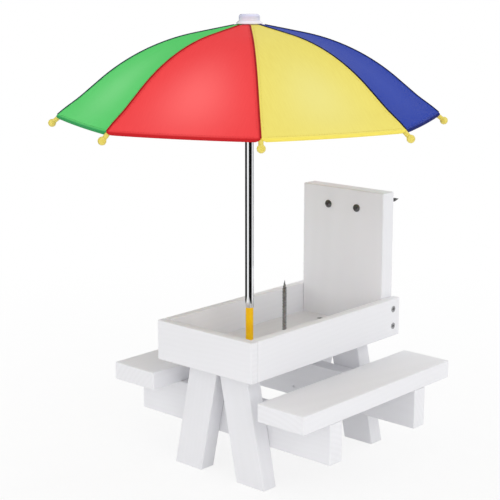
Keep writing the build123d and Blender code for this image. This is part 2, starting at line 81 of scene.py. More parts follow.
def add_vector_math(tree, operation, *values):
    """Adds a Vector Math node; each value is a socket or three numbers. Gives its output."""
    inputs = dict(enumerate(values))
    return add_node(tree, "ShaderNodeVectorMath", inputs, operation=operation).outputs[0]


def add_axes(tree, vector):
    """Adds a Separate XYZ node. Gives its outputs, to be taken by the name of the axis."""
    return add_node(tree, "ShaderNodeSeparateXYZ", {0: vector}).outputs


def add_range(tree, value, low, high, to_low=0.0, to_high=1.0):
    """Adds a clamped Map Range node. Gives its output."""
    limits = {"From Min": low, "From Max": high, "To Min": to_low, "To Max": to_high}
    return add_node(tree, "ShaderNodeMapRange", {"Value": value, **limits}).outputs["Result"]


def add_noise(tree, place, scale, detail=2.0):
    """Adds a Noise Texture with one scale, or three for the axes. Gives its value, about 0.3 to 0.7."""
    if isinstance(scale, tuple):
        place = add_vector_math(tree, "MULTIPLY", place, scale)
        scale = 1.0
    inputs = {"Vector": place, "Scale": scale, "Detail": detail}
    return add_node(tree, "ShaderNodeTexNoise", inputs).outputs[0]


def add_colour_mix(tree, share, first, second):
    """Adds a colour Mix node: first at share 0, second at share 1. Gives its output."""
    inputs = {0: share, 6: first, 7: second}
    return add_node(tree, "ShaderNodeMix", inputs, data_type="RGBA").outputs[2]


def add_bump(tree, height, distance, strength):
    """Adds a Bump node; the height is in shares of a distance in metres. Gives its normal."""
    inputs = {"Height": height, "Distance": distance, "Strength": strength}
    return add_node(tree, "ShaderNodeBump", inputs).outputs["Normal"]


def add_group(tree, group, inputs):
    """Adds a node group to a tree. Gives its outputs, to be taken by name."""
    return add_node(tree, "ShaderNodeGroup", inputs, node_tree=group).outputs


def new_tree(kind, name, inputs, outputs):
    """Starts a node group with named sockets. Gives the tree, its input sockets and its end node."""
    tree = bpy.data.node_groups.new(name, kind)
    for in_out, sockets in (("INPUT", inputs), ("OUTPUT", outputs)):
        for label, socket in sockets.items():
            tree.interface.new_socket(label, in_out=in_out, socket_type=socket)
    return tree, add_node(tree, "NodeGroupInput").outputs, add_node(tree, "NodeGroupOutput")


def new_effect(name, vectors, values):
    """Starts a shader node group that makes values from vectors. Gives what new_tree gives."""
    inputs = dict.fromkeys(vectors, "NodeSocketVector")
    return new_tree("ShaderNodeTree", name, inputs, dict.fromkeys(values, "NodeSocketFloat"))


def new_material(name):
    """Starts a material. Gives it, its tree and its Principled shader."""
    material = bpy.data.materials.new(name)
    material.use_nodes = True
    return material, material.node_tree, material.node_tree.nodes["Principled BSDF"]


def finish(material, *nodes):
    """Gives CAD nodes their material."""
    for node in nodes:
        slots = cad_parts[node].data.materials
        slots.clear()
        slots.append(material)


# The grain group takes a place and a normal turned so that X runs along the board
painted_grain, grain_in, grain_out = new_effect(
    "painted_grain", ["Along Grain", "Board Normal"], ["Tone", "Edge", "Gloss", "Height"]
)
pith_offset = (0.0, 0.071, 0.043)
pith_lean = (0.0, 0.045, 0.03)
pore_scale = (22.0, 900.0, 900.0)
cloud_scale = (5.0, 24.0, 24.0)
spray_scale = 620.0
grain_place = grain_in["Along Grain"]
from_pith = add_vector_math(painted_grain, "ADD", grain_place, pith_offset)
along_pith = add_node(
    painted_grain,
    "ShaderNodeVectorRotate",
    {"Vector": from_pith, "Rotation": pith_lean},
    rotation_type="EULER_XYZ",
)
rings = add_node(
    painted_grain,
    "ShaderNodeTexWave",
    {
        "Vector": along_pith.outputs["Vector"],
        "Scale": 62.0,
        "Distortion": 2.4,
        "Detail": 2.0,
        "Detail Scale": 0.35,
    },
    wave_type="RINGS",
    rings_direction="X",
)
pores = add_noise(painted_grain, grain_place, pore_scale)
clouds = add_noise(painted_grain, grain_place, cloud_scale)
spray = add_noise(painted_grain, grain_place, spray_scale)
facing = add_axes(painted_grain, add_vector_math(painted_grain, "ABSOLUTE", grain_in["Board Normal"]))
sawn_end = add_range(painted_grain, facing["X"], 0.75, 0.95)
across = add_math(painted_grain, "MAXIMUM", facing["Y"], facing["Z"])
squareness = add_math(painted_grain, "MAXIMUM", facing["X"], across)
ring_share = add_math(painted_grain, "MULTIPLY_ADD", sawn_end, 0.5, 0.35)
ring_tone = add_math(painted_grain, "MULTIPLY", rings.outputs["Fac"], ring_share)
grain_height = add_math(painted_grain, "MULTIPLY_ADD", pores, 0.9, ring_tone)
tone = add_math(painted_grain, "MULTIPLY_ADD", ring_tone, 0.5, clouds)
feed(
    painted_grain,
    grain_out,
    {
        "Tone": add_range(painted_grain, tone, 0.3, 1.0),
        "Edge": add_range(painted_grain, squareness, 0.97, 0.8),
        "Gloss": add_range(painted_grain, spray, 0.3, 0.7),
        "Height": add_math(painted_grain, "MULTIPLY_ADD", spray, 0.35, grain_height),
    },
)


def white_paint(name, turn):
    """Satin white paint over a board whose grain a turn brings to X."""
    material, tree, shader = new_material(name)
    places = add_node(tree, "ShaderNodeTexCoord").outputs
    turned = {}
    for source, socket in (("Object", "Along Grain"), ("Normal", "Board Normal")):
        inputs = {"Vector": places[source], "Rotation": turn}
        turned[socket] = add_node(tree, "ShaderNodeMapping", inputs).outputs["Vector"]
    grain = add_group(tree, painted_grain, turned)
    coat = add_colour_mix(tree, grain["Tone"], (0.84, 0.84, 0.868), (0.806, 0.806, 0.83))
    thinness = add_math(tree, "MULTIPLY", grain["Edge"], 0.45)
    feed(
        tree,
        shader,
        {
            "Base Color": add_colour_mix(tree, thinness, coat, (0.78, 0.777, 0.79)),
            "Roughness": add_range(tree, grain["Gloss"], 0.0, 1.0, 0.38, 0.52),
            "Normal": add_bump(tree, grain["Height"], distance=0.0001, strength=0.22),
        },
    )
    return material


quarter_turn = radians(90)
leg_lean = radians(11.7)
paint_across = white_paint("white_paint_grain_across", (0.0, 0.0, 0.0))
paint_lengthways = white_paint("white_paint_grain_lengthways", (0.0, 0.0, -quarter_turn))
paint_upright = white_paint("white_paint_grain_upright", (0.0, quarter_turn, 0.0))
paint_left_leg = white_paint("white_paint_left_legs", (0.0, quarter_turn - leg_lean, 0.0))
paint_right_leg = white_paint("white_paint_right_legs", (0.0, quarter_turn + leg_lean, 0.0))
finish(paint_across, "tray_front_wall", "front_bearer", "rear_bearer")
finish(paint_lengthways, "tray_floor", "tray_left_wall", "tray_right_wall")
finish(paint_lengthways, "left_bench_seat", "right_bench_seat")
finish(paint_upright, "back_board")
finish(paint_left_leg, "front_left_leg", "rear_left_leg")
finish(paint_right_leg, "front_right_leg", "rear_right_leg")

# Wood screws: zinc plated countersunk screws with cross recesses. They pull the side walls against
# the back board, the tray on to the legs, and the bearers against legs and benches. Those in the
# bearers are sprayed over with the boards. CAD nodes.
worn_metal, metal_in, metal_out = new_effect("worn_metal", ["Place"], ["Tarnish", "Gloss", "Height"])
tarnish = add_noise(worn_metal, metal_in["Place"], scale=420.0, detail=4.0)
fine_marks = add_noise(worn_metal, metal_in["Place"], scale=2600.0, detail=3.0)
feed(
    worn_metal,
    metal_out,
    {
        "Tarnish": add_range(worn_metal, tarnish, 0.35, 0.68),
        "Gloss": add_range(worn_metal, fine_marks, 0.3, 0.7),
        "Height": fine_marks,
    },
)


def object_place(tree):
    """Adds Texture Coordinates to a tree. Gives the place in Object coordinates."""
    return add_node(tree, "ShaderNodeTexCoord").outputs["Object"]


def metal_finish(name, bright, dull, roughness, mark_depth, mark_strength, drawn=1.0):
    """A metal between two tones and two roughnesses; its fine marks are drawn out along Z."""
    material, tree, shader = new_material(name)
    inputs = {"Vector": object_place(tree), "Scale": (1.0, 1.0, drawn)}
    place = add_node(tree, "ShaderNodeMapping", inputs).outputs["Vector"]
    wear = add_group(tree, worn_metal, {"Place": place})
    feed(
        tree,
        shader,
        {
            "Base Color": add_colour_mix(tree, wear["Tarnish"], bright, dull),
            "Metallic": 1.0,
            "Roughness": add_range(tree, wear["Gloss"], 0.0, 1.0, *roughness),
            "Normal": add_bump(tree, wear["Height"], mark_depth, mark_strength),
        },
    )
    return material


zinc_plate = metal_finish(
    "zinc_plated_screws",
    bright=(0.5, 0.5, 0.515),
    dull=(0.32, 0.32, 0.33),
    roughness=(0.3, 0.5),
    mark_depth=0.00004,
    mark_strength=0.4,
)
finish(zinc_plate, "back_board_screws", "floor_screws")
finish(paint_across, "bearer_screws", "seat_screws")

# Mounting screws: two long dark phosphated screws through the back board, domed heads in front and
# threaded points behind, which go into a post or a tree. Head and plain shank follow the CAD node,
# and the cut thread with its gimlet point is new.
def new_piece(name, data):
    """Puts a mesh, a lamp or a camera into the scene at the origin."""
    piece = bpy.data.objects.new(name, data)
    bpy.context.scene.collection.objects.link(piece)
    return piece


def new_shape_tree(name, sizes):
    """Starts a Geometry Nodes tree with named sizes and a finish. Gives what new_tree gives."""
    geometry = {"Geometry": "NodeSocketGeometry"}
    inputs = {**geometry, **dict.fromkeys(sizes, "NodeSocketFloat"), "Finish": "NodeSocketMaterial"}
    return new_tree("GeometryNodeTree", name, inputs, geometry)


def end_shape_tree(tree, shape, material, end):
    """Ends a Geometry Nodes tree with Realize Instances and Set Material."""
    real = add_node(tree, "GeometryNodeRealizeInstances", {0: shape}).outputs[0]
    inputs = {"Geometry": real, "Material": material}
    feed(tree, end, {0: add_node(tree, "GeometryNodeSetMaterial", inputs).outputs[0]})


def shape_mesh(tree, start_mesh, sizes):
    """Runs a Geometry Nodes tree on a mesh with the sizes given by input name. Gives a plain mesh."""
    carrier = new_piece("shape_carrier", start_mesh)
    modifier = carrier.modifiers.new(tree.name, "NODES")
    modifier.node_group = tree
    for item in tree.interface.items_tree:
        if item.in_out == "INPUT" and item.name in sizes:
            modifier[item.identifier] = sizes[item.name]
    graph = bpy.context.evaluated_depsgraph_get()
    mesh = bpy.data.meshes.new_from_object(carrier.evaluated_get(graph), depsgraph=graph)
    carrier.modifiers.remove(modifier)
    bpy.data.objects.remove(carrier)
    return mesh


# The thread is cut on a cylinder by moving each point to the radius of its place on the helix
screw_thread, thread_in, thread_out = new_shape_tree(
    "screw_thread", ["Length", "Core Radius", "Ridge Height", "Pitch", "Point Length"]
)
segments_per_turn = 9.0
ridge_top = 1.1
ridge_flank = -3.4
run_in_per_turn = 0.8
point_weld = 0.00001
turns = add_math(screw_thread, "DIVIDE", thread_in["Length"], thread_in["Pitch"])
blank = add_node(
    screw_thread,
    "GeometryNodeMeshCylinder",
    {
        "Vertices": 28,
        "Side Segments": add_math(screw_thread, "MULTIPLY", turns, segments_per_turn),
        "Radius": 0.001,
        "Depth": thread_in["Length"],
    },
    fill_type="TRIANGLE_FAN",
)
blank_place = add_node(screw_thread, "GeometryNodeInputPosition").outputs[0]
blank_axes = add_axes(screw_thread, blank_place)
half_length = add_math(screw_thread, "MULTIPLY", thread_in["Length"], 0.5)
along = add_math(screw_thread, "ADD", blank_axes["Z"], half_length)
round_angle = add_math(screw_thread, "ARCTAN2", blank_axes["Y"], blank_axes["X"])
round_share = add_math(screw_thread, "DIVIDE", round_angle, 2 * pi)
turn_count = add_math(screw_thread, "DIVIDE", along, thread_in["Pitch"])
phase = add_math(screw_thread, "FRACT", add_math(screw_thread, "SUBTRACT", turn_count, round_share))
from_crest = add_math(screw_thread, "ABSOLUTE", add_math(screw_thread, "SUBTRACT", phase, 0.5))
ridge = add_math(screw_thread, "MULTIPLY_ADD", from_crest, ridge_flank, ridge_top, clamp=True)
ridge_height = add_math(screw_thread, "MULTIPLY", ridge, thread_in["Ridge Height"])
run_in = add_math(screw_thread, "MULTIPLY", turn_count, run_in_per_turn, clamp=True)
crest = add_math(screw_thread, "MULTIPLY", ridge_height, run_in)
to_point = add_math(screw_thread, "SUBTRACT", thread_in["Length"], along)
taper = add_math(screw_thread, "DIVIDE", to_point, thread_in["Point Length"], clamp=True)
full_radius = add_math(screw_thread, "ADD", thread_in["Core Radius"], crest)
radius = add_math(screw_thread, "MULTIPLY", full_radius, taper)
outward = add_vector_math(screw_thread, "MULTIPLY", blank_place, (1.0, 1.0, 0.0))
unit_out = add_vector_math(screw_thread, "NORMALIZE", outward)
thread_out_way = add_node(
    screw_thread, "ShaderNodeVectorMath", {"Vector": unit_out, "Scale": radius}, operation="SCALE"
)
thread_level = add_node(screw_thread, "ShaderNodeCombineXYZ", {"Z": along})
thread_place = add_vector_math(screw_thread, "ADD", thread_out_way.outputs[0], thread_level.outputs[0])
cut_thread = add_node(
    screw_thread,
    "GeometryNodeSetPosition",
    {"Geometry": blank.outputs["Mesh"], "Position": thread_place},
)
closed_point = add_node(
    screw_thread,
    "GeometryNodeMergeByDistance",
    {"Geometry": cut_thread.outputs[0], "Distance": point_weld},
)
end_shape_tree(screw_thread, closed_point.outputs[0], thread_in["Finish"], thread_out)


def headed_screws(node, direction, shank_end, thread_starts, sizes):
    """Head and shank of a CAD node up to shank_end along a direction, with a cut thread on each."""
    weld_reach = 0.000001
    shank_margin = 0.0001
    crease = radians(38)
    form = bmesh.new()
    form.from_mesh(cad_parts[node].data)
    bmesh.ops.remove_doubles(form, verts=form.verts, dist=weld_reach)
    threaded = [vert for vert in form.verts if vert.co.dot(direction) > shank_end + shank_margin]
    bmesh.ops.delete(form, geom=threaded, context="VERTS")
    open_rims = [rim for rim in form.edges if rim.is_boundary]
    bmesh.ops.edgeloop_fill(form, edges=open_rims)
    thread = shape_mesh(screw_thread, bpy.data.meshes.new("thread_start"), sizes)
    turned = direction.to_track_quat("Z", "Y").to_matrix().to_4x4()
    for start in thread_starts:
        placed = thread.copy()
        placed.transform(Matrix.Translation(start) @ turned)
        form.from_mesh(placed)
        bpy.data.meshes.remove(placed)
    bmesh.ops.recalc_face_normals(form, faces=form.faces)
    for face in form.faces:
        face.smooth = True
        face.material_index = 0
    mesh = bpy.data.meshes.new(f"{node}_threaded")
    form.to_mesh(mesh)
    form.free()
    mesh.set_sharp_from_angle(angle=crease)
    mesh.materials.clear()
    mesh.materials.append(sizes["Finish"])
    return new_piece(f"{node}_threaded", mesh)


thread_gap = 0.0005
thread_overlap = 0.0002
mount_head_width = 0.008
dark_phosphate = metal_finish(
    "dark_phosphated_screws",
    bright=(0.32, 0.32, 0.325),
    dull=(0.18, 0.18, 0.183),
    roughness=(0.5, 0.68),
    mark_depth=0.00004,
    mark_strength=0.5,
)
mount_low, mount_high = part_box("mounting_screws")
mount_shank_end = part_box("back_board")[1].y + thread_gap
mount_start = mount_shank_end - thread_overlap
mount_level = (mount_low.z + mount_high.z) / 2
mount_spacing = mount_high.x - mount_low.x - mount_head_width
mounting_screws = headed_screws(
    "mounting_screws",
    Vector((0, 1, 0)),
    mount_shank_end,
    [Vector((side * mount_spacing / 2, mount_start, mount_level)) for side in (-1, 1)],
    {
        "Length": mount_high.y - mount_shank_end + thread_overlap,
        "Core Radius": 0.0015,
        "Ridge Height": 0.0006,
        "Pitch": 0.0024,
        "Point Length": 0.008,
        "Finish": dark_phosphate,
    },
)
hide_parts("mounting_screws")
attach(mounting_screws, "table")

# Feed spike: a zinc plated steel screw driven up through the tray floor, with its head sunk below
# and its thread standing up in the tray. Head and shank follow the CAD node, and the thread is new.
spike_low, spike_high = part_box("feed_spike")
spike_shank_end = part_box("tray_floor")[1].z + thread_gap
spike_middle = (spike_low + spike_high) / 2
feed_spike = headed_screws(
    "feed_spike",
    Vector((0, 0, 1)),
    spike_shank_end,
    [Vector((spike_middle.x, spike_middle.y, spike_shank_end - thread_overlap))],
    {
        "Length": spike_high.z - spike_shank_end + thread_overlap,
        "Core Radius": 0.0018,
        "Ridge Height": 0.0007,
        "Pitch": 0.003,
        "Point Length": 0.01,
        "Finish": zinc_plate,
    },
)
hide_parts("feed_spike")
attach(feed_spike, "table")

# Parasol peg and rib tips: injection moulded yellow plastic. The peg stands in a hole of the tray
# floor and carries the pole, and a ball tip is pressed on each rib end. CAD nodes.
moulded_skin, skin_in, skin_out = new_effect("moulded_skin", ["Place"], ["Tone", "Gloss", "Height"])
flow = add_noise(moulded_skin, skin_in["Place"], scale=90.0)
fine_skin = add_noise(moulded_skin, skin_in["Place"], scale=1900.0)
feed(
    moulded_skin,
    skin_out,
    {
        "Tone": add_range(moulded_skin, flow, 0.35, 0.65),
        "Gloss": add_range(moulded_skin, fine_skin, 0.3, 0.7),
        "Height": fine_skin,
    },
)


def moulded_plastic(name, light, deep, roughness, more_inputs=None):
    """A moulded plastic between two tones and two roughnesses, with more inputs for its shader."""
    material, tree, shader = new_material(name)
    skin = add_group(tree, moulded_skin, {"Place": object_place(tree)})
    feed(
        tree,
        shader,
        {
            "Base Color": add_colour_mix(tree, skin["Tone"], light, deep),
            "Roughness": add_range(tree, skin["Gloss"], 0.0, 1.0, *roughness),
            "Normal": add_bump(tree, skin["Height"], distance=0.00003, strength=0.14),
            **(more_inputs or {}),
        },
    )
    return material


yellow_plastic = moulded_plastic(
    "yellow_moulded_plastic",
    light=(1.0, 0.6, 0.004),
    deep=(0.98, 0.54, 0.003),
    roughness=(0.24, 0.36),
    more_inputs={"Specular IOR Level": 0.3},
)
lemon_plastic = moulded_plastic(
    "lemon_moulded_plastic",
    light=(0.8, 0.68, 0.14),
    deep=(0.74, 0.6, 0.1),
    roughness=(0.26, 0.4),
    more_inputs={"Coat Weight": 0.2},
)
rib_numbers = range(1, 9)
finish(yellow_plastic, "parasol_peg")
finish(lemon_plastic, *(f"rib_tip_{number}" for number in rib_numbers))

# Parasol pole: a thin steel tube, chromium plated and polished, pushed over the peg's plug. Drawing
# and polishing leave hair-fine marks along it. A CAD node.
chrome = metal_finish(
    "chrome_plated_tube",
    bright=(0.88, 0.89, 0.9),
    dull=(0.8, 0.81, 0.83),
    roughness=(0.03, 0.07),
    mark_depth=0.00001,
    mark_strength=0.1,
    drawn=0.02,
)
finish(chrome, "parasol_pole")

# Crown and runner: matt white moulded plastic rings with eight slots. The crown is fixed near the
# top of the pole and carries the ribs, and the runner slides below it with the stretchers. CAD nodes.
white_plastic = moulded_plastic(
    "white_moulded_plastic",
    light=(0.84, 0.84, 0.85),
    deep=(0.78, 0.78, 0.79),
    roughness=(0.42, 0.58),
)
finish(white_plastic, "crown", "runner")

# Ribs, stretchers and pins: bright drawn steel wire, bent to shape, with flattened eyes. The ribs
# hinge in the crown, the stretchers join ribs and runner. CAD nodes.
bright_wire = metal_finish(
    "bright_drawn_wire",
    bright=(0.66, 0.66, 0.68),
    dull=(0.5, 0.5, 0.52),
    roughness=(0.2, 0.36),
    mark_depth=0.00004,
    mark_strength=0.3,
)
finish(bright_wire, *(f"rib_{number}" for number in rib_numbers))
finish(bright_wire, *(f"stretcher_{number}" for number in rib_numbers))
finish(bright_wire, "crown_pins", "runner_pins")

# Canopy cloth: eight gores of satin polyester in four colours, sewn together over the ribs that
# stretch them, with a turned and stitched hem caught up at each tip. Each gore is two halves, each
# riding on one of its ribs; near the crown one half laps under the other.
mm = 0.001
pole_low, pole_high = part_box("parasol_pole")
pole_x = (pole_low.x + pole_high.x) / 2
pole_y = (pole_low.y + pole_high.y) / 2
rib_hinge_out = 8.0 * mm
rib_hinge_level = 435.7 * mm
rib_first_slope = radians(10.9)
rib_bend_start = 43.5 * mm
rib_bend_end = 142.8 * mm
rib_bend = 197.0 * mm
half_gore = radians(22.5)
cloth_top_arc = 0.9 * mm
cloth_thickness = 0.45 * mm
hem_arc = 196.6 * mm
hem_width = 3.6 * mm


def rib_turn(number):
    """Angle of a rib round the pole; rib 1 is at the front."""
    return radians(-90 + 45 * (number - 1))


def over_rib(arc, lift):
    """Distance from the pole and height above a rib's line, which is straight, bent, then straight."""
    first = min(arc, rib_bend_start)
    bent = min(max(arc, rib_bend_start), rib_bend_end) - rib_bend_start
    last = max(arc - rib_bend_end, 0.0)
    slope = rib_first_slope + bent / rib_bend
    out = rib_hinge_out + first * cos(rib_first_slope) + last * cos(slope)
    out += rib_bend * (sin(slope) - sin(rib_first_slope)) + lift * sin(slope)
    level = rib_hinge_level - first * sin(rib_first_slope) - last * sin(slope)
    level += lift * cos(slope) - rib_bend * (cos(rib_first_slope) - cos(slope))
    return out, level


def half_chord(arc):
    """Distance from a rib to the middle of its gore."""
    return over_rib(arc, 0.0)[0] * sin(half_gore)


def cloth_lift(arc):
    """Height of the cloth over the middle of the rib's wire, more at the crown and over the sleeve."""
    wire_lift = 1.4 * mm
    crown_lift = 1.3 * mm
    sleeve_lift = 1.4 * mm
    sleeve_start = 166.0 * mm
    sleeve_rise = 26.0 * mm
    to_sleeve = min(max((arc - sleeve_start) / sleeve_rise, 0.0), 1.0)
    over_sleeve = sleeve_lift * to_sleeve**2 * (3 - 2 * to_sleeve)
    return wire_lift + over_sleeve + crown_lift * (1 - min(arc / hem_arc, 1.0))


def edge_arc(share):
    """Arc length to the hem's edge, which is caught up at the tip and lower at once beside it."""
    corner_drop = 1.9 * mm
    corner_share = 0.055
    hem_bulge = 1.0 * mm
    caught_up = (1 - min(share / corner_share, 1.0)) ** 2
    return hem_arc + corner_drop * (1 - caught_up) + hem_bulge * (1 - (1 - share) ** 2)


def on_cloth(turn, side, arc, share, proud):
    """A place on the cloth beside a rib: share 0 is the rib, 1 the middle of the gore on that side."""
    deepest_sag = 1.1 * mm
    length = min(arc / hem_arc, 1.0)
    spread = 1 - (1 - share) ** 2
    sag = deepest_sag * spread * sin(pi * length) ** 2
    out, level = over_rib(arc, cloth_lift(arc) + proud - sag)
    gore_turn = turn + side * half_gore
    chord_way = Vector((-sin(gore_turn), cos(gore_turn), 0)) * side
    rib_way = Vector((cos(turn), sin(turn), 0))
    place = rib_way * out + chord_way * (share * out * sin(half_gore))
    return place + Vector((pole_x, pole_y, level))


def hem_shape(from_edge, away):
    """How far the cloth stands proud near its edge: turned down off the tip, with a stitched groove."""
    tip_reach = 5.0 * mm
    turn_depth = 1.5 * mm
    turn_width = 2.6 * mm
    groove_depth = 0.12 * mm
    groove_half_width = 0.7 * mm
    doubled_height = 0.1 * mm
    off_tip = min(away / tip_reach, 1.0) ** 2
    turned_down = turn_depth * off_tip * max(0.0, 1 - from_edge / turn_width) ** 2
    groove = groove_depth * max(0.0, 1 - abs(from_edge - hem_width) / groove_half_width)
    doubled = doubled_height if from_edge < hem_width else 0.0
    return doubled - turned_down - groove


def seam_shape(away, arc, start):
    """How far the cloth stands proud near its seam: rolled in, then puckered by the stitches."""
    roll_depth = 0.45 * mm
    roll_width = 0.9 * mm
    pucker_height = 0.07 * mm
    pucker_middle = 2.6 * mm
    pucker_half_width = 2.3 * mm
    short_wave = 1.3 * mm
    short_wave_shift = 40
    long_wave = 2.3 * mm
    long_wave_shift = 90
    long_wave_share = 0.7
    rolled_in = roll_depth * max(0.0, 1 - away / roll_width) ** 2
    puckered = max(0.0, 1 - abs(away - pucker_middle) / pucker_half_width)
    waves = sin(arc / short_wave + short_wave_shift * start)
    waves += long_wave_share * sin(arc / long_wave + long_wave_shift * start)
    return pucker_height * puckered * waves - rolled_in


def shell_depth(from_edge, away):
    """Thickness of the cloth's shell: more in the hem and where the seam's raw edge lies inside."""
    raw_edge = 0.35 * mm
    raw_edge_start = 1.3 * mm
    raw_edge_end = 4.7 * mm
    turned_in = cloth_thickness if from_edge <= hem_width else 0.0
    allowance = raw_edge if raw_edge_start < away < raw_edge_end else 0.0
    return cloth_thickness + max(turned_in, allowance)


def lap_width(arc, chord):
    """How far one half of a gore laps under the other: most at the crown, where the pleat is deep."""
    lap_reach = 17.0 * mm
    lap_end = 128.0 * mm
    lap_fade = 48.0 * mm
    least_lap = 0.3 * mm
    most_lap_share = 0.8
    wanted = lap_reach * min(1.0, max(0.0, (lap_end - arc) / lap_fade))
    return max(least_lap, min(wanted, most_lap_share * chord))


def row_distances(row_arc, side):
    """Distances of a row's points from the rib: close at the seam, then even, then across the lap."""
    seam_columns = [0.0, 0.3, 0.6, 0.9, 1.4, 2.0, 2.8, 3.7, 4.6, 4.9]
    lap_columns = [0.08, 0.3, 0.65, 1.0] if side > 0 else []
    open_columns = 17
    middle_margin = 0.05 * mm
    most_seam_share = 0.7
    chord = half_chord(row_arc)
    seam_scale = min(mm, most_seam_share * chord / seam_columns[-1])
    seam_side = [step * seam_scale for step in seam_columns]
    open_step = (chord - seam_side[-1]) / open_columns
    open_side = [seam_side[-1] + open_step * step for step in range(1, open_columns + 1)]
    open_side.insert(-1, chord - middle_margin)
    lapped = [chord + lap_width(row_arc, chord) * step for step in lap_columns]
    return seam_side + open_side + lapped


def doubled_and_shade_share(from_edge, away):
    """Deeper tone: doubled cloth in seam and hem, and painted shade at the seam and the hem's turned
    edge.
    """
    seam_reach = 2.2 * mm
    edge_start = 3.0 * mm
    edge_fade = 1.6 * mm
    seam_fade_power = 0.7
    hem_share = 0.08
    # at_seam and at_edge also paint the shade along the seam and under the hem's turned-down edge
    at_seam = max(0.0, 1 - away / seam_reach) ** seam_fade_power
    at_edge = min(1.0, max(0.0, (edge_start - from_edge) / edge_fade))
    at_hem = hem_share if from_edge < hem_width else 0.0
    return max(at_seam, at_hem, at_edge)


def painted_sheen_share(arc, share):
    """How much painted sheen shows, a paler tone: most in a gore's middle, towards its hem."""
    palest_length = 0.76
    pale_length = 0.24
    pale_width = 0.6
    along_gore = (arc / hem_arc - palest_length) / pale_length
    across_gore = (1 - share) / pale_width
    return exp(-(along_gore**2)) * exp(-(across_gore**2))


def half_gore_mesh(name, turn, side, start):
    """One half of a gore as a closed thin shell with UVs in metres from the gore's middle line."""
    hem_rows = [5.6, 4.8, 4.2, 3.8, 3.6, 3.4, 3.0, 2.5, 1.9, 1.3, 0.8, 0.35, 0.0]
    body_rows = 112
    tuck_depth = 0.6 * mm
    tuck_width = 1.5 * mm
    crease = radians(50)
    hem_zone = hem_rows[0] * mm
    body_length = hem_arc - cloth_top_arc
    body_step = (body_length - hem_zone) / body_rows
    edge_distances = [body_length - body_step * row for row in range(body_rows)]
    edge_distances += [row * mm for row in hem_rows]
    form = bmesh.new()
    uv = form.loops.layers.uv.new("cloth")
    doubling_and_shade = form.verts.layers.float.new("doubled")
    sheen_layer = form.verts.layers.float.new("painted_sheen")
    uv_of = {}
    sheets = []
    for layer in (0, 1):
        rows = []
        for from_edge in edge_distances:
            chord = half_chord(hem_arc - from_edge)
            line = []
            for away in row_distances(hem_arc - from_edge, side):
                share = away / chord
                edge = edge_arc(share)
                stretch = 1.0 if from_edge <= hem_zone else (edge - cloth_top_arc) / body_length
                arc = edge - from_edge * stretch
                tucked = tuck_depth * min(1.0, max(0.0, away - chord) / tuck_width)
                proud = hem_shape(from_edge, away) + seam_shape(away, arc, start)
                proud -= layer * shell_depth(from_edge, away) + tucked
                vert = form.verts.new(on_cloth(turn, side, arc, share, proud))
                # doubled cloth, with painted shade at the seam and the hem's edge
                vert[doubling_and_shade] = doubled_and_shade_share(from_edge, away)
                # painted sheen: a paler tone in each gore's middle, towards its hem
                vert[sheen_layer] = painted_sheen_share(arc, share)
                uv_of[vert] = (start + side * (chord - away), arc)
                line.append(vert)
            rows.append(line)
        sheets.append(rows)
    rims = []
    for layer, rows in enumerate(sheets):
        for upper, lower in zip(rows, rows[1:]):
            for column in range(len(upper) - 1):
                corners = [upper[column], lower[column], lower[column + 1], upper[column + 1]]
                form.faces.new(corners if layer == 0 else corners[::-1])
        seam_rim = [row[0] for row in rows[:-1]]
        middle_rim = [row[-1] for row in rows[:0:-1]]
        rims.append(seam_rim + rows[-1][:-1] + middle_rim + rows[0][:0:-1])
    over, under = rims
    for index in range(len(over)):
        after = (index + 1) % len(over)
        form.faces.new((over[index], under[index], under[after], over[after]))
    bmesh.ops.recalc_face_normals(form, faces=form.faces)
    for face in form.faces:
        face.smooth = True
        for loop in face.loops:
            loop[uv].uv = uv_of[loop.vert]
    mesh = bpy.data.meshes.new(name)
    form.to_mesh(mesh)
    form.free()
    mesh.set_sharp_from_angle(angle=crease)
    return mesh


# The weave group takes UVs in metres, across and along the gore
satin_weave, weave_in, weave_out = new_effect(
    "satin_weave", ["Cloth Place"], ["Tone", "Gloss", "Height"]
)
cloth_place = weave_in["Cloth Place"]
cloth_axes = add_axes(satin_weave, cloth_place)
thread_pitch = 0.5 * mm
warp_angle = add_math(satin_weave, "MULTIPLY", cloth_axes["X"], 2 * pi / thread_pitch)
weft_angle = add_math(satin_weave, "MULTIPLY", cloth_axes["Y"], 2 * pi / thread_pitch)
warp = add_math(satin_weave, "SINE", warp_angle)
weft = add_math(satin_weave, "SINE", weft_angle)
crossing = add_math(satin_weave, "MULTIPLY", warp, weft)
slubs = add_noise(satin_weave, cloth_place, scale=(900.0, 60.0, 1.0))
pulls = add_noise(satin_weave, cloth_place, scale=(75.0, 9.0, 1.0), detail=1.0)
slub_height = add_math(satin_weave, "MULTIPLY", slubs, 0.5)
weave_height = add_math(satin_weave, "MULTIPLY_ADD", crossing, 0.18, slub_height)
feed(
    satin_weave,
    weave_out,
    {
        "Tone": add_range(satin_weave, slubs, 0.3, 0.7),
        "Gloss": add_range(satin_weave, crossing, -1.0, 1.0),
        "Height": add_math(satin_weave, "MULTIPLY_ADD", pulls, 5.0, weave_height),
    },
)


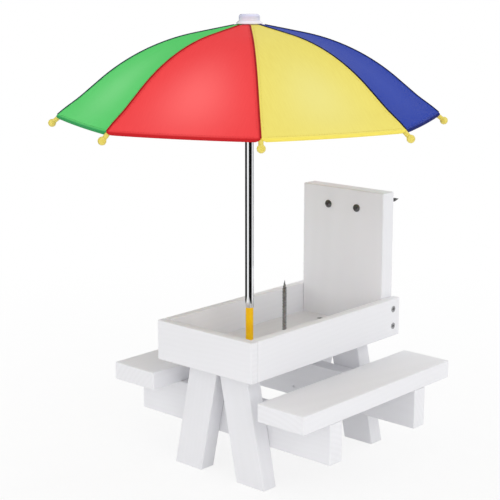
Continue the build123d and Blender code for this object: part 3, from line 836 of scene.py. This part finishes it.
def satin_cloth(name, light, deep, thin, folded_and_shaded):
    """Satin polyester in two tones; paler under painted sheen, deeper in doubled cloth and painted
    shade.
    """
    material, tree, shader = new_material(name)
    cloth_uv = add_node(tree, "ShaderNodeUVMap", uv_map="cloth").outputs["UV"]
    weave = add_group(tree, satin_weave, {"Cloth Place": cloth_uv})
    tone = add_colour_mix(tree, weave["Tone"], light, deep)
    # painted sheen pales each gore's middle; doubled adds doubled cloth and painted shade at seams and
    # hem
    for attribute, share, colour in (("painted_sheen", 0.9, thin), ("doubled", 0.95, folded_and_shaded)):
        mask = add_node(tree, "ShaderNodeAttribute", attribute_name=attribute).outputs["Fac"]
        tone = add_colour_mix(tree, add_math(tree, "MULTIPLY", mask, share), tone, colour)
    feed(
        tree,
        shader,
        {
            "Base Color": tone,
            "Roughness": add_range(tree, weave["Gloss"], 0.0, 1.0, 0.44, 0.58),
            "Specular IOR Level": 0.04,
            "Normal": add_bump(tree, weave["Height"], distance=0.00008, strength=0.4),
        },
    )
    return material


# Thin tones are painted sheen; folded tones are doubled cloth with painted shade at seams and hem edge.
red_cloth = satin_cloth(
    "red_satin",
    light=(0.84, 0.06, 0.064),
    deep=(0.82, 0.053, 0.058),
    thin=(0.95, 0.145, 0.145),
    folded_and_shaded=(0.5, 0.014, 0.018),
)
yellow_cloth = satin_cloth(
    "yellow_satin",
    light=(0.81, 0.705, 0.16),
    deep=(0.78, 0.665, 0.14),
    thin=(0.8, 0.725, 0.235),
    folded_and_shaded=(0.84, 0.71, 0.125),
)
blue_cloth = satin_cloth(
    "blue_satin",
    light=(0.022, 0.053, 0.38),
    deep=(0.019, 0.048, 0.35),
    thin=(0.03, 0.064, 0.4),
    folded_and_shaded=(0.009, 0.015, 0.13),
)
green_cloth = satin_cloth(
    "green_satin",
    light=(0.112, 0.635, 0.162),
    deep=(0.096, 0.595, 0.146),
    thin=(0.185, 0.675, 0.225),
    folded_and_shaded=(0.03, 0.3, 0.09),
)
cloths = [red_cloth, yellow_cloth, blue_cloth, green_cloth]


def gather(piece, number):
    """Lets a cloth piece ride on its rib, on a mesh of its own."""
    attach(piece, f"rib_{number}_arm")
    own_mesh(piece)


def gore_beside(number, side):
    """Number of the gore on one side of a rib: its own number on the +1 side."""
    return number if side > 0 else (number - 2) % 8 + 1


weave_step = 0.2
half_gores = {}
for number in rib_numbers:
    for side in (-1, 1):
        gore = gore_beside(number, side)
        colour = (gore - 1) % len(cloths)
        half_name = f"gore_{gore}_on_rib_{number}"
        half_mesh = half_gore_mesh(half_name, rib_turn(number), side, weave_step * gore)
        half_mesh.materials.append(cloths[colour])
        half = new_piece(half_name, half_mesh)
        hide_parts(f"gore_{gore}")
        half_gores[number, side] = half

# Seams: the gores are sewn face to face over the ribs, with the raw edges inside. Outside only the
# narrow pressed line of the seam shows, in a dark tone of the darker cloth: stitching and painted
# shade.
sewn_seam, seam_in, seam_out = new_shape_tree("sewn_seam", ["Half Width", "Half Height"])
seam_path = add_node(sewn_seam, "GeometryNodeMeshToCurve", {"Mesh": seam_in["Geometry"]})
seam_upright = add_node(
    sewn_seam, "GeometryNodeSetCurveNormal", {"Curve": seam_path.outputs[0]}, mode="Z_UP"
)
seam_ring = add_node(sewn_seam, "GeometryNodeCurvePrimitiveCircle", {"Resolution": 12, "Radius": 1.0})
seam_size = add_node(
    sewn_seam,
    "ShaderNodeCombineXYZ",
    {"X": seam_in["Half Width"], "Y": seam_in["Half Height"], "Z": 1.0},
)
seam_oval = add_node(
    sewn_seam,
    "GeometryNodeTransform",
    {"Geometry": seam_ring.outputs["Curve"], "Scale": seam_size.outputs[0]},
)
seam_body = add_node(
    sewn_seam,
    "GeometryNodeCurveToMesh",
    {
        "Curve": seam_upright.outputs["Curve"],
        "Profile Curve": seam_oval.outputs["Geometry"],
        "Fill Caps": True,
    },
)
seam_smooth = add_node(sewn_seam, "GeometryNodeSetShadeSmooth", {"Geometry": seam_body.outputs["Mesh"]})
end_shape_tree(sewn_seam, seam_smooth.outputs[0], seam_in["Finish"], seam_out)


def path_mesh(name, places):
    """A line of edges through places, for a tree that follows a path."""
    mesh = bpy.data.meshes.new(name)
    links = [(index, index + 1) for index in range(len(places) - 1)]
    mesh.from_pydata(places, links, [])
    return mesh


def even_steps(first, last, count):
    """Values from first to last in a count of equal steps."""
    return [first + (last - first) * step / count for step in range(count + 1)]


def sewn_cloth(name, colour):
    """Doubled and pressed cloth, puckered by its stitches along Object coordinates."""
    material, tree, shader = new_material(name)
    deep_share = 0.72
    puckers = add_noise(tree, object_place(tree), scale=420.0)
    pressed = add_range(tree, puckers, 0.35, 0.65)
    deep = tuple(deep_share * part for part in colour)
    feed(
        tree,
        shader,
        {
            "Base Color": add_colour_mix(tree, pressed, colour, deep),
            "Roughness": add_range(tree, puckers, 0.3, 0.7, 0.45, 0.65),
            "Specular IOR Level": 0.12,
            "Normal": add_bump(tree, puckers, distance=0.0003, strength=0.6),
        },
    )
    return material


# Both seam tones are much darker than the cloth: dark stitching with painted shade along the seam.
seam_shade_finishes = {
    "red_cloth": sewn_cloth("red_seam_shade", (0.4, 0.012, 0.014)),
    "blue_cloth": sewn_cloth("blue_seam_shade", (0.006, 0.009, 0.05)),
}
seam_arcs = [arc * mm for arc in even_steps(first=6.0, last=195.8, count=60)]
seam_sink = 0.05 * mm
seams = {}
for number in rib_numbers:
    seam_slot = "red_cloth" if number % 4 in (1, 2) else "blue_cloth"
    seam_places = [on_cloth(rib_turn(number), 1, arc, 0.0, -seam_sink) for arc in seam_arcs]
    seam_sizes = {"Half Width": 0.7 * mm, "Half Height": 0.75 * mm, "Finish": seam_shade_finishes[seam_slot]}
    seam_mesh = shape_mesh(sewn_seam, path_mesh(f"seam_line_{number}", seam_places), seam_sizes)
    seam = new_piece(f"seam_{number}", seam_mesh)
    seams[number] = seam

# Stitches: lockstitch in thread of the cloth's own colour, one row beside each seam and one along
# the hem. Each stitch is a short rounded length of thread pulled into the cloth.
stitch_row, stitch_in, stitch_out = new_shape_tree(
    "stitch_row", ["Pitch", "Stitch Length", "Thread Radius"]
)
stitch_path = add_node(stitch_row, "GeometryNodeMeshToCurve", {"Mesh": stitch_in["Geometry"]})
stitch_spacing = add_node(
    stitch_row,
    "GeometryNodeResampleCurve",
    {"Curve": stitch_path.outputs[0], "Length": stitch_in["Pitch"]},
    mode="LENGTH",
)
stitch_way = add_node(stitch_row, "GeometryNodeInputTangent")
stitch_turn = add_node(
    stitch_row, "FunctionNodeAlignRotationToVector", {"Vector": stitch_way.outputs[0]}, axis="X"
)
stitch_ball = add_node(
    stitch_row, "GeometryNodeMeshUVSphere", {"Segments": 6, "Rings": 5, "Radius": 1.0}
)
stitch_smooth = add_node(
    stitch_row, "GeometryNodeSetShadeSmooth", {"Geometry": stitch_ball.outputs["Mesh"]}
)
stitch_size = add_node(
    stitch_row,
    "ShaderNodeCombineXYZ",
    {
        "X": add_math(stitch_row, "MULTIPLY", stitch_in["Stitch Length"], 0.5),
        "Y": stitch_in["Thread Radius"],
        "Z": stitch_in["Thread Radius"],
    },
)
stitches_placed = add_node(
    stitch_row,
    "GeometryNodeInstanceOnPoints",
    {
        "Points": stitch_spacing.outputs[0],
        "Instance": stitch_smooth.outputs[0],
        "Rotation": stitch_turn.outputs[0],
        "Scale": stitch_size.outputs[0],
    },
)
end_shape_tree(stitch_row, stitches_placed.outputs[0], stitch_in["Finish"], stitch_out)

thread_finishes = [
    sewn_cloth("red_thread", (0.74, 0.04, 0.045)),
    sewn_cloth("yellow_thread", (0.82, 0.66, 0.11)),
    sewn_cloth("blue_thread", (0.045, 0.07, 0.34)),
    sewn_cloth("green_thread", (0.1, 0.5, 0.13)),
]
seam_row_arcs = [arc * mm for arc in even_steps(first=14.0, last=186.0, count=40)]
seam_row_away = 3.0 * mm
seam_row_proud = 0.05 * mm
hem_row_shares = even_steps(first=0.1, last=0.995, count=32)
hem_row_sink = 0.02 * mm
gore_width = 2 * half_chord(hem_arc)
gore_length = edge_arc(1.0)
strip_count = 100
strip_length = gore_length / strip_count
strip_arcs = [(step + 0.5) * strip_length for step in range(strip_count)]
half_gore_area = sum(half_chord(arc) for arc in strip_arcs) * strip_length
lap_area = sum(lap_width(arc, half_chord(arc)) for arc in strip_arcs) * strip_length
for number in rib_numbers:
    turn = rib_turn(number)
    for side in (-1, 1):
        gore = gore_beside(number, side)
        colour = (gore - 1) % len(cloths)
        seam_row = [
            on_cloth(turn, side, arc, seam_row_away / half_chord(arc), seam_row_proud)
            for arc in seam_row_arcs
        ]
        hem_row = [
            on_cloth(turn, side, edge_arc(share) - hem_width, share, -hem_row_sink)
            for share in hem_row_shares
        ]
        both_rows = bmesh.new()
        both_rows.from_mesh(path_mesh("seam_row", seam_row))
        both_rows.from_mesh(path_mesh("hem_row", hem_row))
        stitch_lines = bpy.data.meshes.new("stitch_lines")
        both_rows.to_mesh(stitch_lines)
        both_rows.free()
        stitch_sizes = {
            "Pitch": 2.4 * mm,
            "Stitch Length": 1.9 * mm,
            "Thread Radius": 0.19 * mm,
            "Finish": thread_finishes[colour],
        }
        stitch_mesh = shape_mesh(stitch_row, stitch_lines, stitch_sizes)
        stitches = new_piece(f"gore_{gore}_stitches_{number}", stitch_mesh)
        half = half_gores[number, side]
        for piece in (half, stitches):
            gather(piece, number)
    gather(seams[number], number)

# Cap: a milky lavender plastic knob pushed on the pole's end, which holds the cloth down on the
# crown. It is paler towards its thin flared foot. A CAD node.
milky_cap = moulded_plastic(
    "milky_lavender_plastic",
    light=(0.685, 0.685, 0.86),
    deep=(0.62, 0.62, 0.79),
    roughness=(0.2, 0.3),
    more_inputs={
        "Subsurface Weight": 0.25,
        "Subsurface Radius": (0.002, 0.002, 0.0025),
        "Coat Weight": 0.3,
    },
)
cap_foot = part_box("parasol_cap")[0].z
paling_start = cap_foot + 7.5 * mm
paling_end = cap_foot + 2.0 * mm
cap_tree = milky_cap.node_tree
cap_colour = cap_tree.nodes["Principled BSDF"].inputs["Base Color"]
cap_tone = cap_colour.links[0].from_socket
cap_level = add_axes(cap_tree, object_place(cap_tree))["Z"]
paleness = add_range(cap_tree, cap_level, paling_start, paling_end)
cap_tree.links.new(add_colour_mix(cap_tree, paleness, cap_tone, (0.83, 0.8, 0.87)), cap_colour)
finish(milky_cap, "parasol_cap")

# Studio: a pale floor, large soft lamps at a plain level and dark flags that only polished metal
# sees. The camera stands to the right of the front, a little above the parasol.
def seen_rays(tree):
    """Adds a Light Path node. Gives 1 for camera, glossy and transmission rays and 0 for others."""
    rays = add_node(tree, "ShaderNodeLightPath").outputs
    mirrored = add_math(tree, "MAXIMUM", rays["Is Glossy Ray"], rays["Is Transmission Ray"])
    return add_math(tree, "MAXIMUM", rays["Is Camera Ray"], mirrored)


floor_half = 40.0
floor_corners = [(-floor_half, -floor_half, 0), (floor_half, -floor_half, 0)]
floor_corners += [(floor_half, floor_half, 0), (-floor_half, floor_half, 0)]
floor_mesh = bpy.data.meshes.new("studio_floor")
floor_mesh.from_pydata(floor_corners, [], [(0, 1, 2, 3)])
floor = new_piece("studio_floor", floor_mesh)
pale_floor, floor_tree, floor_shader = new_material("pale_floor")
floor_place = object_place(floor_tree)
floor_grain = add_range(floor_tree, add_noise(floor_tree, floor_place, scale=30.0), 0.3, 0.7)
feed(
    floor_tree,
    floor_shader,
    {
        "Base Color": add_colour_mix(floor_tree, floor_grain, (0.9, 0.9, 0.9), (0.88, 0.88, 0.88)),
        "Roughness": 0.9,
        "Specular IOR Level": 0.0,
    },
)
floor_white = add_node(floor_tree, "ShaderNodeEmission", {"Strength": 1.0})
floor_reach = add_node(floor_tree, "ShaderNodeVectorMath", {0: floor_place}, operation="LENGTH")
floor_paleness = add_range(floor_tree, floor_reach.outputs["Value"], 0.3, 0.9, 0.82, 1.0)
floor_mix = add_node(
    floor_tree,
    "ShaderNodeMixShader",
    {
        "Fac": add_math(floor_tree, "MULTIPLY", seen_rays(floor_tree), floor_paleness),
        1: floor_shader.outputs["BSDF"],
        2: floor_white.outputs["Emission"],
    },
)
feed(floor_tree, floor_tree.nodes["Material Output"], {"Surface": floor_mix.outputs["Shader"]})
floor_mesh.materials.append(pale_floor)

studio = bpy.data.worlds.new("studio")
studio.use_nodes = True
bpy.context.scene.world = studio
studio_tree = studio.node_tree
seen_light = 1.0
unseen_light = 0.7
air_light = add_range(studio_tree, seen_rays(studio_tree), 0.0, 1.0, unseen_light, seen_light)
feed(
    studio_tree,
    studio_tree.nodes["Background"],
    {"Color": (1.0, 1.0, 1.0), "Strength": air_light},
)


def stand_facing(thing, place, aim):
    """Stands a lamp or the camera at a place so that it faces a point."""
    thing.location = place
    thing.rotation_euler = (Vector(aim) - Vector(place)).to_track_quat("-Z", "Y").to_euler()


def soft_lamp(name, place, size, power):
    """A large square lamp that faces the middle of the table."""
    table_middle = (0.0, 0.0, 0.25)
    lamp = bpy.data.lights.new(name, "AREA")
    lamp.shape = "SQUARE"
    lamp.size = size
    lamp.energy = power
    stand = new_piece(name, lamp)
    stand.visible_glossy = False
    stand_facing(stand, place, table_middle)


soft_lamp("front_lamp", (-0.3, -2.4, 0.8), size=1.8, power=7.6)
soft_lamp("right_lamp", (2.3, -0.9, 1.1), size=1.8, power=20.5)
soft_lamp("left_lamp", (-2.3, -0.5, 0.95), size=1.8, power=16.0)
soft_lamp("rear_lamp", (0.4, 2.3, 1.5), size=1.8, power=12.0)
soft_lamp("overhead_lamp", (0.2, -0.4, 2.8), size=2.0, power=6.0)

camera_place = Vector((836.9, -942.5, 494.0)) * mm
camera_aim = Vector((0.0, -14.2, 236.3)) * mm
camera_turn = atan2(camera_place.y - pole_y, camera_place.x - pole_x)


def dark_flag(name, from_degrees, to_degrees, foot_level, tone):
    """An upright curved card round the pole, between two angles from the camera, seen in gloss only."""
    reach = 0.45
    height = 1.1
    steps = 16
    places = []
    for degrees in even_steps(from_degrees, to_degrees, steps):
        turn = camera_turn + radians(degrees)
        foot = Vector((pole_x + reach * cos(turn), pole_y + reach * sin(turn), foot_level))
        places += [foot, foot + Vector((0, 0, height))]
    faces = [(2 * step, 2 * step + 2, 2 * step + 3, 2 * step + 1) for step in range(steps)]
    mesh = bpy.data.meshes.new(name)
    mesh.from_pydata(places, [], faces)
    card, tree, shader = new_material(name)
    feed(tree, shader, {"Base Color": (tone, tone, tone), "Roughness": 1.0, "Specular IOR Level": 0.0})
    mesh.materials.append(card)
    flag = new_piece(name, mesh)
    flag.visible_camera = False
    flag.visible_diffuse = False
    flag.visible_transmission = False
    flag.visible_shadow = False


dark_flag("flag_behind_camera", -18, 64, foot_level=0.002, tone=0.005)
dark_flag("flag_left", -178, -67, foot_level=0.002, tone=0.005)
dark_flag("flag_right", 95, 134, foot_level=0.1, tone=0.3)

lens = bpy.data.cameras.new("studio_camera")
lens.sensor_width = 36.0
lens.lens = 94.5
lens.shift_y = -0.0326
camera = new_piece("studio_camera", lens)
stand_facing(camera, camera_place, camera_aim)
bpy.context.scene.camera = camera
bpy.context.scene.view_settings.view_transform = "Standard"
